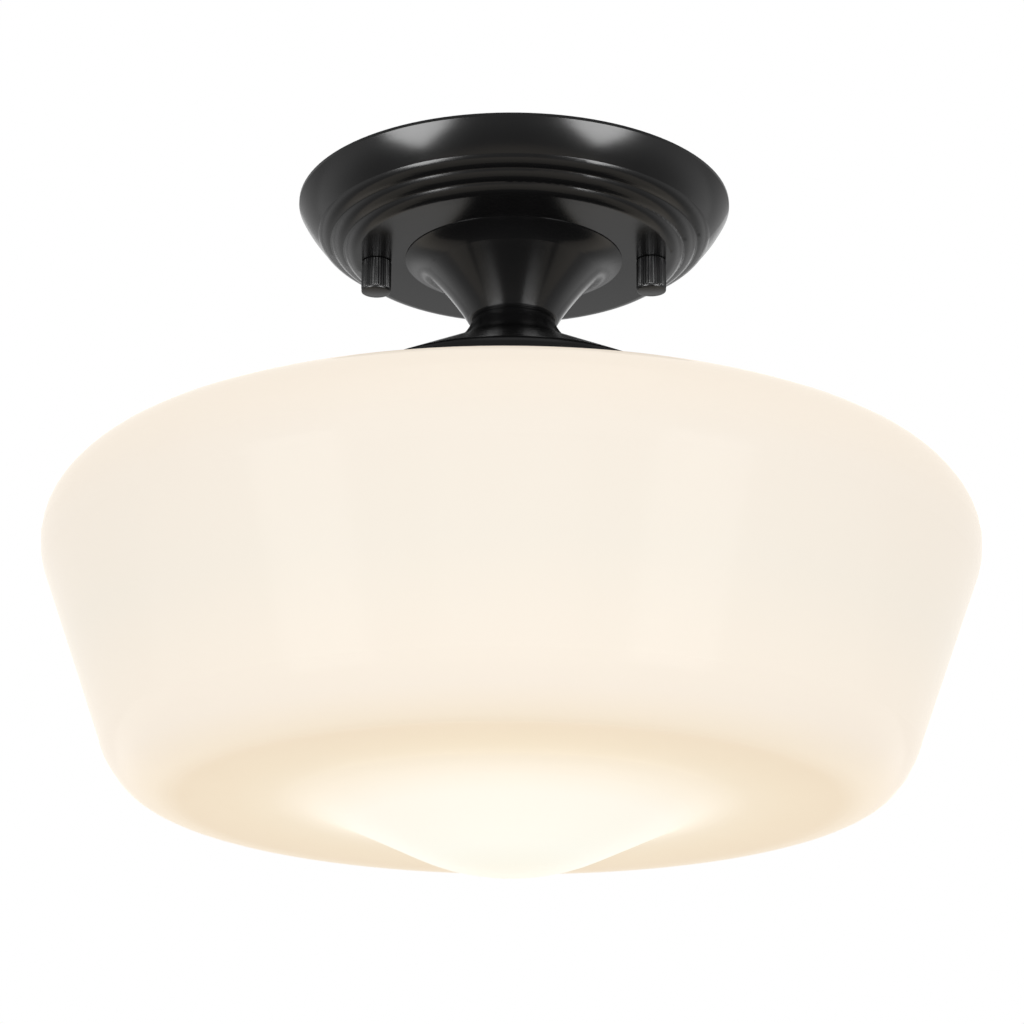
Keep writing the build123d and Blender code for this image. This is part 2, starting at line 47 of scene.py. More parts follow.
# one value on its way through a material, so that shader sums read as sums
class Flow:
    def __init__(self, nodes, socket):
        self.nodes = nodes
        self.socket = socket

    def sum(self, operation, *others):
        return self.nodes.add("ShaderNodeMath", {"operation": operation}, [self, *others])

    def __add__(self, other):
        return self.sum("ADD", other)

    def __radd__(self, other):
        return self.sum("ADD", other)

    def __sub__(self, other):
        return self.sum("SUBTRACT", other)

    def __rsub__(self, other):
        return self.nodes.add("ShaderNodeMath", {"operation": "SUBTRACT"}, [other, self])

    def __mul__(self, other):
        return self.sum("MULTIPLY", other)

    def __rmul__(self, other):
        return self.sum("MULTIPLY", other)

    def __truediv__(self, other):
        return self.sum("DIVIDE", other)

    def __rtruediv__(self, other):
        return self.nodes.add("ShaderNodeMath", {"operation": "DIVIDE"}, [other, self])

    def __pow__(self, other):
        return self.sum("POWER", other)

    def __rpow__(self, other):
        return self.nodes.add("ShaderNodeMath", {"operation": "POWER"}, [other, self])


# a node tree that nodes are added to
class Nodes:
    def __init__(self, tree):
        self.tree = tree

    # settings first, then sockets, which are a list in order or a dictionary by name
    def add(self, kind, settings=None, sockets=None, out=0):
        node = self.tree.nodes.new(kind)
        for key, value in (settings or {}).items():
            if key == "stops":
                for index, (position, colour) in enumerate(value):
                    stops = node.color_ramp.elements
                    stop = stops[index] if index < 2 else stops.new(position)
                    stop.position, stop.color = position, (*colour, 1)
            else:
                setattr(node, key, value)
        pairs = sockets.items() if isinstance(sockets, dict) else enumerate(sockets or [])
        for key, value in pairs:
            if isinstance(value, Flow):
                self.tree.links.new(value.socket, node.inputs[key])
            else:
                node.inputs[key].default_value = value
        return Flow(self, node.outputs[out])


# a material under construction: its shader, and the nodes that feed it
class Paint(Nodes):
    def __init__(self, name, **fixed):
        self.material = bpy.data.materials.new(name)
        self.material.use_nodes = True
        super().__init__(self.material.node_tree)
        self.shader = self.tree.nodes["Principled BSDF"]
        for socket, value in fixed.items():
            self.shader.inputs[socket.replace("_", " ")].default_value = value
        self.place = self.add("ShaderNodeTexCoord", out="Object")

    def axes(self):
        return [self.add("ShaderNodeSeparateXYZ", None, [self.place], out) for out in range(3)]

    # scales are in waves per metre
    def noise(self, scale, detail=3, stretch=None):
        place = self.place
        if stretch:
            place = self.add("ShaderNodeVectorMath", {"operation": "MULTIPLY"}, [place, stretch])
        sockets = {"Vector": place, "Scale": scale, "Detail": detail}
        return self.add("ShaderNodeTexNoise", None, sockets, "Fac")

    # start below low, end above high, smooth between
    def step(self, value, low, high, start=0, end=1):
        sockets = [value, low, high, start, end]
        return self.add("ShaderNodeMapRange", {"interpolation_type": "SMOOTHSTEP"}, sockets)

    def blend(self, mask, first, second):
        sockets = {0: mask, 6: self.colour(first), 7: self.colour(second)}
        return self.add("ShaderNodeMix", {"data_type": "RGBA"}, sockets, 2)

    def colour(self, value):
        return value if isinstance(value, Flow) else (*value, 1)

    def bump(self, height, strength, distance):
        sockets = {"Height": height, "Strength": strength, "Distance": distance}
        return self.add("ShaderNodeBump", None, sockets)

    def feed(self, **links):
        for socket, value in links.items():
            self.tree.links.new(value.socket, self.shader.inputs[socket.replace("_", " ")])
        return self.material


# sprayed satin paint: soft clouds in its sheen, fine dust and a little orange peel
satinBlack = {
    "colour": (0.0022, 0.0022, 0.0023),
    "dust": (0.007, 0.007, 0.007),
    "dustAmount": 0.25,
    "cloudAmount": 0.12,
    "roughness": 0.2,
    "specular": 0.3,
    "clouds": 45,
    "grain": 5200,
    "peel": 1300,
    "peelStrength": 0.35,
    "peelDepth": 0.000012,
}


def blackPaint(name, rougher=0, glossier=1):
    style = satinBlack
    paint = Paint(name, Specular_IOR_Level=style["specular"] * glossier)
    cloud = paint.noise(style["clouds"], 4)
    grain = paint.noise(style["grain"], 2)
    dust = paint.step(grain, 0.58, 0.8) * style["dustAmount"] + cloud * style["cloudAmount"]
    # less 0.07, about the mean of the two noises
    sheen = cloud * 0.08 + grain * 0.05 + (style["roughness"] + rougher - 0.07)
    peel = paint.noise(style["peel"], 2) + grain * 0.25
    return paint.feed(
        Base_Color=paint.blend(dust, style["colour"], style["dust"]),
        Roughness=sheen,
        Normal=paint.bump(peel, style["peelStrength"], style["peelDepth"]),
    )


opalGlass = {
    "milk": (0.80, 0.775, 0.725),
    "milkDeep": (0.77, 0.735, 0.665),
    "specular": 0.08,
    "roughness": 0.06,
    "undersideRoughness": 0.3,
    "underside": (0.46, 0.57),  # where the profile turns from the wall to the underside
    "crown": (0.1, 0.235),  # the heights between which the crown ends, as shares of the shade
    "paintedCrownGlow": (0.09, 0.075, 0.055),  # the fitter shades the crown from the bulb
    "clouds": 14,
    "haze": 70,
    "waveDepth": 0.0004,
    # painted glow and shade: the glass's emission stands in for the bulb's light through it, from the
    # shoulder down the wall and in along the underside to the dome, dimmer and warmer just past the lower
    # corner
    "glow": [
        (0.13, (0.59, 0.505, 0.41)),
        (0.20, (0.595, 0.53, 0.455)),
        (0.33, (0.59, 0.535, 0.46)),
        (0.42, (0.62, 0.55, 0.465)),
        (0.50, (0.63, 0.55, 0.46)),
        (0.56, (0.645, 0.54, 0.405)),
        (0.59, (0.58, 0.455, 0.3)),
        (0.64, (0.595, 0.475, 0.315)),
        (0.68, (0.61, 0.5, 0.345)),
        (0.73, (0.7, 0.61, 0.48)),
        (0.79, (0.715, 0.68, 0.595)),
        (0.90, (0.72, 0.71, 0.63)),
        (0.97, (0.72, 0.69, 0.59)),
    ],
}


def milkGlass(name):
    style = opalGlass
    paint = Paint(name, Specular_IOR_Level=style["specular"], Emission_Strength=1.0)
    x, y, z = paint.axes()
    low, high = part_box("glass_shade")
    radius = (x * x + y * y) ** 0.5 / high[0]
    height = (high[2] - z) / (high[2] - low[2])
    profile = (height - radius + 1) / 2  # grows all the way from the shoulder to the dome's tip
    # painted light: the glass glows by its own emission rather than being lit by the bulb, and is dimmed on
    # the crown as painted shade
    glow = paint.add("ShaderNodeValToRGB", {"stops": style["glow"]}, [profile])
    belowCrown = paint.step(height, *style["crown"])
    cloud = paint.noise(style["clouds"], 3)
    haze = paint.noise(style["haze"], 2, (1, 1, 0.25))
    polish = paint.step(profile, *style["underside"], style["roughness"], style["undersideRoughness"])
    return paint.feed(
        Base_Color=paint.blend(cloud * 0.5 + haze * 0.3, style["milk"], style["milkDeep"]),
        Emission_Color=paint.blend(belowCrown, style["paintedCrownGlow"], glow),
        Roughness=haze * 0.05 + polish,
        Normal=paint.bump(cloud + haze * 0.3, 0.2, style["waveDepth"]),
    )


# plated steel: small crystals of zinc and a soft change of tint
platedSteel = {
    "pale": (0.66, 0.67, 0.67),
    "blue": (0.50, 0.54, 0.60),
    "nipple": (0.68, 0.64, 0.52),
    "cap": (0.7, 0.69, 0.66),
    "roughness": 0.3,
    "crystals": 900,
    "clouds": 60,
    "scuffs": 700,
    "scuffDepth": 0.00002,
}


def zincPlate(name, tint):
    style = platedSteel
    paint = Paint(name, Metallic=1.0)
    sockets = {"Vector": paint.place, "Scale": style["crystals"]}
    crystals = paint.add("ShaderNodeTexVoronoi", None, sockets, "Color")
    facet = paint.add("ShaderNodeRGBToBW", None, [crystals])
    cloud = paint.noise(style["clouds"], 3)
    scuff = paint.noise(style["scuffs"], 3, (1, 0.08, 1))
    return paint.feed(
        Base_Color=paint.blend(cloud * 0.7 + facet * 0.3, style[tint], style["blue"]),
        Roughness=facet * 0.12 + scuff * 0.1 + (style["roughness"] - 0.1),
        Normal=paint.bump(scuff * 0.3 + facet * 0.12, 0.6, style["scuffDepth"]),
    )


# colour and roughness of the thin metals of the holder and the bulb
lampMetals = {
    "shellMetal": ((0.80, 0.79, 0.76), 0.2),
    "baseMetal": ((0.82, 0.81, 0.79), 0.18),
    "contactBrass": ((0.82, 0.62, 0.30), 0.22),
    "tipSolder": ((0.66, 0.66, 0.67), 0.3),
}


def lampMetal(name):
    colour, roughness = lampMetals[name]
    paint = Paint(name, Metallic=1.0)
    scuff = paint.noise(500, 4, (1, 1, 0.2))
    stain = paint.step(paint.noise(90, 4), 0.5, 0.75)
    dull = tuple(0.55 * part for part in colour)
    return paint.feed(
        Base_Color=paint.blend(stain * 0.35, colour, dull),
        Roughness=scuff * 0.15 + stain * 0.12 + roughness,
        Normal=paint.bump(scuff, 0.3, 0.00003),
    )


glazedClay = {
    "white": (0.84, 0.825, 0.79),
    "speck": (0.42, 0.37, 0.31),
    "roughness": 0.2,
    "clouds": 90,
    "specks": 2600,
    "ripples": 900,
    "rippleDepth": 0.0006,
}


def porcelainGlaze(name):
    style = glazedClay
    paint = Paint(name, Specular_IOR_Level=0.5, Coat_Weight=0.6, Coat_Roughness=0.06)
    cloud = paint.noise(style["clouds"], 3)
    specks = paint.step(paint.noise(style["specks"], 2), 0.72, 0.78)
    return paint.feed(
        Base_Color=paint.blend(specks * 0.6 + cloud * 0.1, style["white"], style["speck"]),
        Roughness=cloud * 0.15 + style["roughness"],
        Normal=paint.bump(cloud + paint.noise(style["ripples"], 2) * 0.1, 0.25, style["rippleDepth"]),
    )


# the black glass between the bulb's base and its tip
tipGlass = {"deep": (0.012, 0.010, 0.014), "swirl": (0.05, 0.04, 0.06), "roughness": 0.1, "swirls": 300}


def swirledGlass(name):
    style = tipGlass
    paint = Paint(name, Specular_IOR_Level=0.6)
    swirl = paint.noise(style["swirls"], 3)
    return paint.feed(
        Base_Color=paint.blend(swirl, style["deep"], style["swirl"]),
        Roughness=swirl * 0.2 + style["roughness"],
        Normal=paint.bump(swirl, 0.3, 0.0002),
    )


frostedBulb = {
    "white": (0.86, 0.85, 0.82),
    "grainy": (0.72, 0.70, 0.66),
    "roughness": 0.32,
    "grain": 3500,
    "glow": (1.0, 0.86, 0.62),
    "strength": 2.2,
    "neckGlow": 0.25,  # the neck is dimmer than the ball, by this share
    "neck": (0.45, 0.95),  # the heights between which it dims, as shares of the globe
}


def frostGlass(name):
    style = frostedBulb
    paint = Paint(name, Emission_Strength=style["strength"])
    z = paint.axes()[2]
    low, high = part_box("bulb_globe")
    height = (z - low[2]) / (high[2] - low[2])
    grain = paint.noise(style["grain"], 2)
    dim = tuple(style["neckGlow"] * part for part in style["glow"])
    return paint.feed(
        Base_Color=paint.blend(grain * 0.3, style["white"], style["grainy"]),
        Emission_Color=paint.blend(paint.step(height, *style["neck"]), style["glow"], dim),
        Roughness=grain * 0.15 + style["roughness"],
        Normal=paint.bump(grain, 0.15, 0.00003),
    )


bulbStem = {"clear": (0.9, 0.93, 0.92), "seedy": (0.75, 0.8, 0.8), "roughness": 0.02, "seeds": 900}


def stemGlass(name):
    style = bulbStem
    paint = Paint(name, Transmission_Weight=0.9, IOR=1.5)
    seeds = paint.noise(style["seeds"], 2)
    return paint.feed(
        Base_Color=paint.blend(seeds, style["clear"], style["seedy"]),
        Roughness=seeds * 0.1 + style["roughness"],
    )


filament = {
    "wire": (0.3, 0.29, 0.28),
    "drawn": (0.2, 0.19, 0.18),
    "hot": (1.0, 0.62, 0.25),
    "warm": (0.02, 0.01, 0.005),
    "strength": 3.0,
    "fade": (-0.144, -0.138),  # the levels between which the hot coil turns into its cooler supports
}


def hotWire(name):
    style = filament
    paint = Paint(name, Metallic=1.0, Emission_Strength=style["strength"])
    z = paint.axes()[2]
    return paint.feed(
        Base_Color=paint.blend(paint.noise(2000, 2), style["wire"], style["drawn"]),
        Emission_Color=paint.blend(paint.step(z, *style["fade"]), style["hot"], style["warm"]),
    )


# colour and rubbed colour of each lead
leadCoats = {
    "blackInsulation": ((0.012, 0.012, 0.012), (0.03, 0.03, 0.03)),
    "whiteInsulation": ((0.78, 0.77, 0.73), (0.62, 0.60, 0.55)),
}


def insulation(name):
    colour, mark = leadCoats[name]
    paint = Paint(name, Sheen_Weight=0.15)
    rubbed = paint.step(paint.noise(600, 3), 0.55, 0.75)
    waves = paint.noise(1800, 2)
    return paint.feed(
        Base_Color=paint.blend(rubbed * 0.5, colour, mark),
        Roughness=rubbed * 0.2 + 0.35,
        Normal=paint.bump(waves, 0.3, 0.00004),
    )


connectorPlastic = {"orange": (0.62, 0.17, 0.025), "deep": (0.48, 0.11, 0.015), "roughness": 0.32}


def mouldedPlastic(name):
    style = connectorPlastic
    paint = Paint(name, Specular_IOR_Level=0.45)
    pebble = paint.noise(2600, 2)
    cloud = paint.noise(120, 2)
    return paint.feed(
        Base_Color=paint.blend(cloud * 0.6 + pebble * 0.2, style["orange"], style["deep"]),
        Roughness=pebble * 0.2 + style["roughness"],
        Normal=paint.bump(pebble, 0.4, 0.00004),
    )


groundScrew = {"green": (0.02, 0.22, 0.06), "bare": (0.5, 0.5, 0.48), "roughness": 0.25, "chips": 1500}


def chippedPaint(name):
    style = groundScrew
    paint = Paint(name)
    chips = paint.step(paint.noise(style["chips"], 4), 0.66, 0.7)
    grain = paint.noise(2400, 2)
    return paint.feed(
        Base_Color=paint.blend(chips, style["green"], style["bare"]),
        Metallic=chips,
        Roughness=grain * 0.2 + style["roughness"],
        Normal=paint.bump(grain - chips, 0.4, 0.00005),
    )


nutBlack = blackPaint("nutBlack", 0.14, 1.3)
zinc = zincPlate("zincPlate", "pale")
nippleZinc = zincPlate("nippleZinc", "nipple")
shellMetal, baseMetal, contactBrass, tipSolder = [lampMetal(name) for name in lampMetals]
connectorOrange = mouldedPlastic("connectorOrange")

finishes = {
    blackPaint("canopyBlack"): ["canopy"],
    blackPaint("bellBlack", -0.02): ["neck_bell"],
    blackPaint("fitterBlack", 0.04, 0.6): ["shade_fitter", "weld_nuts"],
    nutBlack: ["cap_nut_left", "cap_nut_right", "thumb_screw_left", "thumb_screw_right", "thumb_screw_rear"],
    milkGlass("opalGlass"): ["glass_shade"],
    zinc: [
        "crossbar", "mounting_studs", "stud_nuts",
        "canopy_star_washer", "canopy_hex_nut", "fitter_star_washer", "fitter_hex_nut",
    ],
    nippleZinc: ["stem_nipple"],
    zincPlate("capSteel", "cap"): ["socket_cap"],
    chippedPaint("groundGreen"): ["ground_screw"],
    porcelainGlaze("porcelain"): ["socket_body"],
    shellMetal: ["socket_screw_shell"],
    contactBrass: ["socket_contact"],
    frostGlass("frostedGlass"): ["bulb_globe"],
    baseMetal: ["bulb_screw_base"],
    swirledGlass("blackGlass"): ["bulb_insulator"],
    tipSolder: ["bulb_contact"],
    stemGlass("stemGlass"): ["bulb_stem"],
    hotWire("hotWire"): ["bulb_filament"],
    insulation("blackInsulation"): ["black_lead"],
    insulation("whiteInsulation"): ["white_lead"],
    connectorOrange: ["wire_connectors"],
}
for finish, names in finishes.items():
    for name in names:
        for slot in nodes[name].material_slots:
            slot.material = finish
print("materials on", sum(len(names) for names in finishes.values()), "nodes")


turning = {
    "axis": 0.00001,  # the radius at which a turned end closes on its axis
    "crispAngle": 28,
}


# a turned piece from stations of (height, radius, depth of its knurl), open or closed at its ends
def turn(name, stations, sides, ribs, finish, twist=0.0, soft=False):
    points, faces = [], []
    for height, radius, depth in stations:
        for step in range(sides):
            angle = 2 * pi * step / sides
            # 0 on a rib and 1 in a groove
            wave = abs((ribs * step / sides - twist * height) % 1 - 0.5) * 2
            if soft:
                wave = wave * wave * (3 - 2 * wave)
            reach = radius - depth * wave
            points.append((reach * cos(angle), reach * sin(angle), height))
    for row in range(len(stations) - 1):
        for step in range(sides):
            here, beside = row * sides + step, row * sides + (step + 1) % sides
            faces.append((here, beside, beside + sides, here + sides))
    mesh = bpy.data.meshes.new(name)
    mesh.from_pydata(points, [], faces)
    mesh.materials.append(finish)
    piece = bpy.data.objects.new(name, mesh)
    bpy.context.collection.objects.link(piece)
    return piece


# moves a turned piece to its place on its body, smooth but for its crisp edges
def seat(piece, place, body, slot, *replaced):
    piece.data.transform(place)
    for face in piece.data.polygons:
        face.use_smooth = True
    piece.data.set_sharp_from_angle(angle=radians(turning["crispAngle"]))
    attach(piece, body)
    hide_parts(*replaced)


# stations of a screw thread between two heights, with this many rows to each pitch
def threadRows(start, end, radius, depth, pitch, fineness):
    rows = max(2, int(abs(end - start) / pitch * fineness))
    return [(start + (end - start) * row / rows, radius, depth) for row in range(rows + 1)]


capNut = {
    "ribs": 34,
    "knurl": 0.0003,
    "proud": 0.00015,  # the ribs stand out from the round
    "chamfer": 0.0005,
    "plainEnd": 0.0003,
    "neck": 0.0002,  # the groove between the knurl and the plain end
    "boreRadius": 0.00215,
    "boreDepth": 0.0086,
    "boreLead": 0.0004,
}


def makeCapNut(side):
    style = capNut
    low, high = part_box("cap_nut_" + side)
    middle = (low + high) / 2
    radius, length = (high[0] - low[0]) / 2 + style["proud"], high[2] - low[2]
    knurl, chamfer = style["knurl"], style["chamfer"]
    bore, lead, axis = style["boreRadius"], style["boreLead"], turning["axis"]
    ring = chamfer + style["plainEnd"]
    groove = radius - style["neck"]
    stations = [
        (length - style["boreDepth"], axis, 0),
        (length - style["boreDepth"], bore, 0),
        (length - lead, bore, 0),
        (length, bore + lead, 0),
        (length, radius - chamfer, 0),
        (length - chamfer * 0.3, radius - chamfer * 0.3, knurl * 0.3),
        (length - chamfer, radius, knurl),
        (ring + 0.0004, radius, knurl),
        (ring + 0.0001, groove, knurl * 0.5),
        (ring, groove - knurl / 2, 0),
        (ring - 0.0002, groove - knurl / 2, 0),
        (ring - 0.0003, radius - 0.0001, 0),  # the plain end starts
        (chamfer, radius - 0.00005, 0),
        (chamfer * 0.3, radius - chamfer * 0.3, 0),
        (0, radius - chamfer, 0),
        (0, axis, 0),
    ]
    piece = turn("knurled_nut_" + side, stations, style["ribs"] * 8, style["ribs"], nutBlack)
    place = Matrix.Translation((middle[0], middle[1], low[2]))
    seat(piece, place, "cap_nut_" + side, "black_cap_nuts", "cap_nut_" + side)


thumbScrew = {
    "angles": {"left": 210, "right": 330, "rear": 90},
    "headRadius": 0.0042,
    "headLength": 0.008,
    "shankRadius": 0.002,
    "ribs": 30,
    "knurl": 0.0003,
    "chamfer": 0.0005,
    "dishRadius": 0.0022,
    "dishDepth": 0.0003,
    "pitch": 0.0007,
    "threadDepth": 0.00035,
}


def makeThumbScrew(name, angle):
    style = thumbScrew
    low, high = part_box("thumb_screw_rear")  # this one lies along Y, so its box is its length
    tip, outer = low[1], high[1]
    head = outer - style["headLength"]
    radius, knurl, chamfer = style["headRadius"], style["knurl"], style["chamfer"]
    shank, depth, pitch = style["shankRadius"], style["threadDepth"], style["pitch"]
    dish, sunk, axis = style["dishRadius"], style["dishDepth"], turning["axis"]
    stations = [(tip, axis, 0), (tip, shank - depth, 0)]
    stations += threadRows(tip + depth, head, shank, depth, pitch, 8)
    thread = turn("thumb_thread_" + name, stations, 32, 1, nutBlack, 1 / pitch)
    stations = [
        (head, shank * 0.9, 0),
        (head, radius - chamfer, 0),
        (head + chamfer, radius, 0),
        (head + chamfer * 1.4, radius, 0),
        (head + chamfer * 2, radius, knurl),
        (outer - chamfer * 2, radius, knurl),
        (outer - chamfer * 1.4, radius, 0),
        (outer - chamfer, radius, 0),
        (outer, radius - chamfer, 0),
        (outer, dish, 0),
        (outer - sunk, dish - sunk, 0),
        (outer - sunk, axis, 0),
    ]
    grip = turn("thumb_head_" + name, stations, style["ribs"] * 8, style["ribs"], nutBlack)
    place = Matrix.Rotation(radians(angle), 4, "Z") @ Matrix.Rotation(pi / 2, 4, "Y")
    place = Matrix.Translation((0, 0, (low[2] + high[2]) / 2)) @ place
    body = "thumb_screw_" + name
    seat(thread, place, body, "black_thumb_screws", body)
    seat(grip, place, body, "black_thumb_screws", body)


for side in ("left", "right"):
    makeCapNut(side)
for name, angle in thumbScrew["angles"].items():
    makeThumbScrew(name, angle)
print("knurled pieces made")


studThread = {"pitch": 0.000794, "depth": 0.00042, "point": 0.0004}


def makeStud(side, sign):
    style = studThread
    pitch, depth, point, axis = style["pitch"], style["depth"], style["point"], turning["axis"]
    low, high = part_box("mounting_studs")
    middle, radius = (low + high) / 2, (high[1] - low[1]) / 2
    bottom, top, root = low[2], high[2], radius - depth
    stations = [(bottom, axis, 0), (bottom, root, 0)]
    stations += threadRows(bottom + point, top - point / 2, radius, depth, pitch, 6)
    stations += [(top, root, 0), (top, axis, 0)]
    piece = turn("stud_" + side, stations, 24, 1, zinc, 1 / pitch)
    place = Matrix.Translation((sign * (high[0] - radius), middle[1], 0))
    seat(piece, place, "fixture", "zinc_hardware", "mounting_studs")


nippleThread = {"pitch": 0.00094, "depth": 0.00045, "bore": 0.00365, "point": 0.0004}


def makeNipple():
    style = nippleThread
    pitch, depth, bore, point = style["pitch"], style["depth"], style["bore"], style["point"]
    low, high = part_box("stem_nipple")
    radius, bottom, top = (high[0] - low[0]) / 2, low[2], high[2]
    root = radius - depth
    stations = [(bottom, bore, 0), (bottom, root, 0)]
    stations += threadRows(bottom + point, top - point, radius, depth, pitch, 5)
    stations += [(top, root, 0), (top, bore + point, 0), (top - point, bore, 0), (bottom, bore, 0)]
    piece = turn("threaded_nipple", stations, 32, 1, nippleZinc, 1 / pitch)
    seat(piece, Matrix(), "fixture", "nipple_steel", "stem_nipple")


# the round thread of a lamp, rolled in thin sheet, so that it shows on both sides of it
lampThread = {
    "pitch": 0.00363,
    "depth": 0.0006,
    "shellDepth": 0.0002,  # shallow in the holder, so that the bulb can slide out
    "sheet": 0.00025,
    "taper": 0.0024,  # above the thread of the bulb's base
    "skirt": 0.0035,  # below it
    "runOut": 0.0006,
    "lip": 0.0002,
    "plainEnd": 0.001,  # of the holder's shell
    "mouth": 0.0092,
    "edge": 0.0003,
}


def makeBulbBase():
    style = lampThread
    pitch, depth, sheet = style["pitch"], style["depth"], style["sheet"]
    lip, runOut = style["lip"], style["runOut"]
    low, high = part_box("bulb_screw_base")
    radius, bottom, top = (high[0] - low[0]) / 2, low[2], high[2]
    shoulder, seal = top - style["taper"], bottom + style["skirt"]
    root, mouth = radius - depth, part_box("bulb_insulator")[1][0]
    thread = threadRows(shoulder - runOut, seal + runOut, radius, depth, pitch, 14)
    outside = [(top, mouth - sheet, 0), (top, mouth, 0), (shoulder, root, 0), *thread]
    outside += [(seal, root + lip, 0), (bottom + lip * 2, radius - lip, 0), (bottom, radius, 0)]
    inside = [(height, reach - sheet, sunk) for height, reach, sunk in reversed(outside[2:])]
    piece = turn("lamp_base", outside + inside + outside[:1], 48, 1, baseMetal, 1 / pitch, True)
    seat(piece, Matrix(), "bulb", "base_metal", "bulb_screw_base")


def makeScrewShell():
    style = lampThread
    pitch, depth, plain = style["pitch"], style["shellDepth"], style["plainEnd"]
    mouth, edge = style["mouth"], style["edge"]
    low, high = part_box("socket_screw_shell")
    radius, bottom, top = (high[0] - low[0]) / 2, low[2], high[2]
    root, inner = radius - depth, radius - depth * 2
    thread = threadRows(bottom + plain * 2, top - plain * 3, radius, depth, pitch, 12)
    outside = [(bottom, radius, 0), (bottom + plain, radius, 0), *thread]
    outside += [(top - plain * 2, root, 0), (top - edge, root, 0), (top, root - edge, 0)]
    inside = [(top, mouth, 0), (top - depth * 2, mouth, 0), (top - depth * 2, inner, 0)]
    inside += [(top - plain * 2, inner, 0)]
    inside += [(height, reach - depth, sunk) for height, reach, sunk in reversed(thread)]
    inside += [(bottom + plain, root, 0), (bottom, root, 0), (bottom, radius, 0)]
    piece = turn("lamp_screw_shell", outside + inside, 48, 1, shellMetal, 1 / pitch, True)
    seat(piece, Matrix(), "fixture", "shell_metal", "socket_screw_shell")


twistCap = {
    "flutes": 14,
    "fluteDepth": 0.00045,
    "length": 0.021,
    "mouth": 0.0056,
    "tip": 0.0038,
    "bore": 0.0039,
    "boreEnd": 0.013,
    "grip": 0.00135,
    "gripStart": 0.006,
    "place": (0.0016, 0.0175, -0.0082),
}


def makeTwistCap(side, sign):
    style = twistCap
    length, mouth, tip, flute = style["length"], style["mouth"], style["tip"], style["fluteDepth"]
    grip, axis = style["grip"], turning["axis"]

    # the radius this share of the way from the mouth to the tip
    def along(share):
        return mouth + (tip - mouth) * share

    stations = [
        (style["boreEnd"], axis, 0),
        (style["boreEnd"], grip, 0),
        (style["gripStart"], grip, 0),
        (0, style["bore"], 0),
        (0, mouth - 0.0004, 0),
        (0.0003, mouth, 0),
        (0.0022, along(0.1), 0),
        (0.0028, along(0.12), flute * 0.3),  # the flutes start
        (0.0038, along(0.16), flute),
        (0.0168, along(0.8), flute * 0.8),
        (0.0182, along(0.87), flute * 0.3),
        (0.0188, along(0.9), 0),  # and run out
        (0.0199, along(0.98), 0),
        (0.0207, tip - 0.0005, 0),
        (length, tip - 0.0013, 0),
        (length, axis, 0),
    ]
    piece = turn("twist_cap_" + side, stations, style["flutes"] * 8, style["flutes"], connectorOrange)
    x, y, z = style["place"]
    place = Matrix.Translation((sign * x, sign * y, z)) @ Matrix.Rotation(-sign * pi / 2, 4, "X")
    seat(piece, place, "fixture", "connector_plastic", "wire_connectors")


for side, sign in (("left", -1), ("right", 1)):
    makeStud(side, sign)
makeNipple()
makeBulbBase()
makeScrewShell()
for side, sign in (("front", -1), ("rear", 1)):
    makeTwistCap(side, sign)
print("threaded pieces and wire connectors made")


studio = {
    "target": (0, 0, -0.1),
    "distance": 0.8964,
    "elevation": -18.816,
    "azimuth": 1.7,
    "lens": 100.14,
    "pitch": -0.249,
    "roll": 0.4,
    "floorLevel": -1.6,
    "floorReach": 12,
    "floorFade": (1, 6),  # how far out the floor turns into the white background
    "floorColour": (0.78, 0.78, 0.775),
    "floorMottle": (0.74, 0.74, 0.735),
    "floorShine": 0.86,  # how much of the white floor and background the polished pieces mirror
    "skyShine": 0.38,
    "floorWhite": 0.45,  # the least share of white in the floor as the camera sees it
    "ambient": 0.3,
    "background": 1.0,
}


# the way back from the target, where azimuth 0 is the front
def wayBack(azimuth, elevation):
    swing, lift = radians(azimuth), radians(elevation)
    return Vector((sin(swing) * cos(lift), -cos(swing) * cos(lift), sin(lift)))


def makeCamera():
    style = studio
    back = wayBack(style["azimuth"], style["elevation"])
    camera = bpy.data.objects.new("camera", bpy.data.cameras.new("camera"))
    camera.data.lens = style["lens"]
    camera.data.sensor_width = 36
    look = (-back).to_track_quat("-Z", "Y").to_matrix().to_4x4()
    lean = Matrix.Rotation(radians(style["pitch"]), 4, "X") @ Matrix.Rotation(radians(style["roll"]), 4, "Z")
    stand = Matrix.Translation(Vector(style["target"]) + back * style["distance"])
    camera.matrix_world = stand @ look @ lean
    bpy.context.collection.objects.link(camera)
    bpy.context.scene.camera = camera


# azimuth and elevation of each lamp from the target, its distance, size, radiance and roll
lamps = {
    # broad boxes that the black paint shows as two bands of light, their lower ends nearer the middle
    "bandLeft": (-46.5, -14, 1.1, (0.66, 0.56), 16, 34),
    "bandRight": (43.5, -14, 1.1, (0.66, 0.56), 16, -34),
    # weak ones for the glass
    "glassLeft": (-47, -21, 1.1, (0.42, 0.6), 0.9, 0),
    "glassRight": (44, -21, 1.1, (0.42, 0.6), 0.9, 0),
    "glassFront": (0, -25, 1.5, (0.9, 0.9), 0.6, 0),
    # two that the glass only mirrors, as faint tall windows
    "windowLeft": (-47, -21, 1.1, (0.42, 0.6), 8, 0),
    "windowRight": (44, -21, 1.1, (0.42, 0.6), 10, 0),
    "above": (10, 60, 1.6, (1.2, 1.2), 0.6, 0),
    "behind": (180, 15, 1.8, (1.4, 0.8), 0.45, 0),
}


